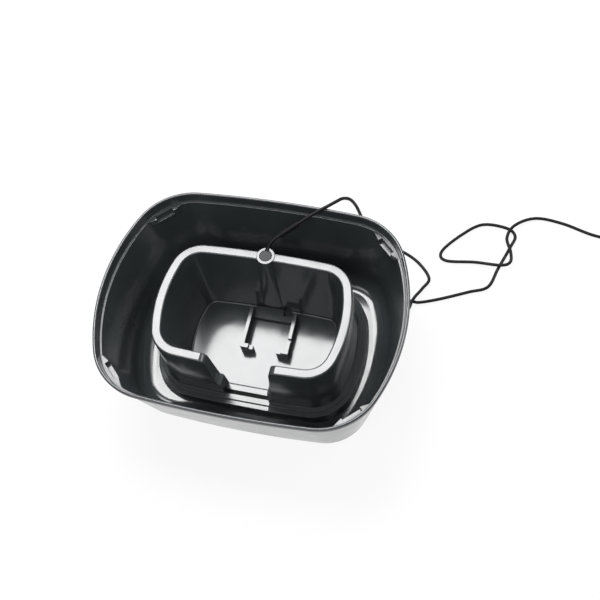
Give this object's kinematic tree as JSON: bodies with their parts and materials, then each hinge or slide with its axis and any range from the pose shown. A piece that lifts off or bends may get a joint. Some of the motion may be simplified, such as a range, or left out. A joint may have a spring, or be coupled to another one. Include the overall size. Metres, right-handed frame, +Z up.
{
  "type": "water basin",
  "caption": "Open rounded-rectangle basin with a ledge, corner shelves, a walled pump bay with a cord duct and filter slot, and a low-voltage lead with a plug.",
  "frame": {"origin": "middle of the resting plane under the feet, below the middle of the rim", "axes": "+X to the right along the width, +Y to the back where the lead leaves, +Z up"},
  "size_m": [0.5816, 0.3288, 0.1151],
  "materials": {
    "gloss_black": "gloss",
    "satin_black": "satin gloss",
    "rubber": "matt",
    "lead": "satin",
    "tie": "matt",
    "grip": "satin",
    "plated": "polished"
  },
  "bodies": {
    "base": {"basin": "gloss_black", "bay_ring": "satin_black", "pump_cradle": "gloss_black", "foot_front_left": "rubber", "foot_front_right": "rubber", "foot_back_left": "rubber", "foot_back_right": "rubber", "lead_span": "lead", "lead_run": "lead", "lead_coil": "lead", "coil_tie": "tie", "plug_grip": "grip", "plug_barrel": "plated"},
    "bung": {"duct_bung": "rubber", "lead_tail": "lead", "lead_boot": "lead"}
  },
  "joints": [
    {"name": "bung_pull", "type": "slide", "parent": "base", "child": "bung", "axis": [0, 0, 1], "range_m": [0, 0.02], "deforming": ["lead_span"]}
  ]
}
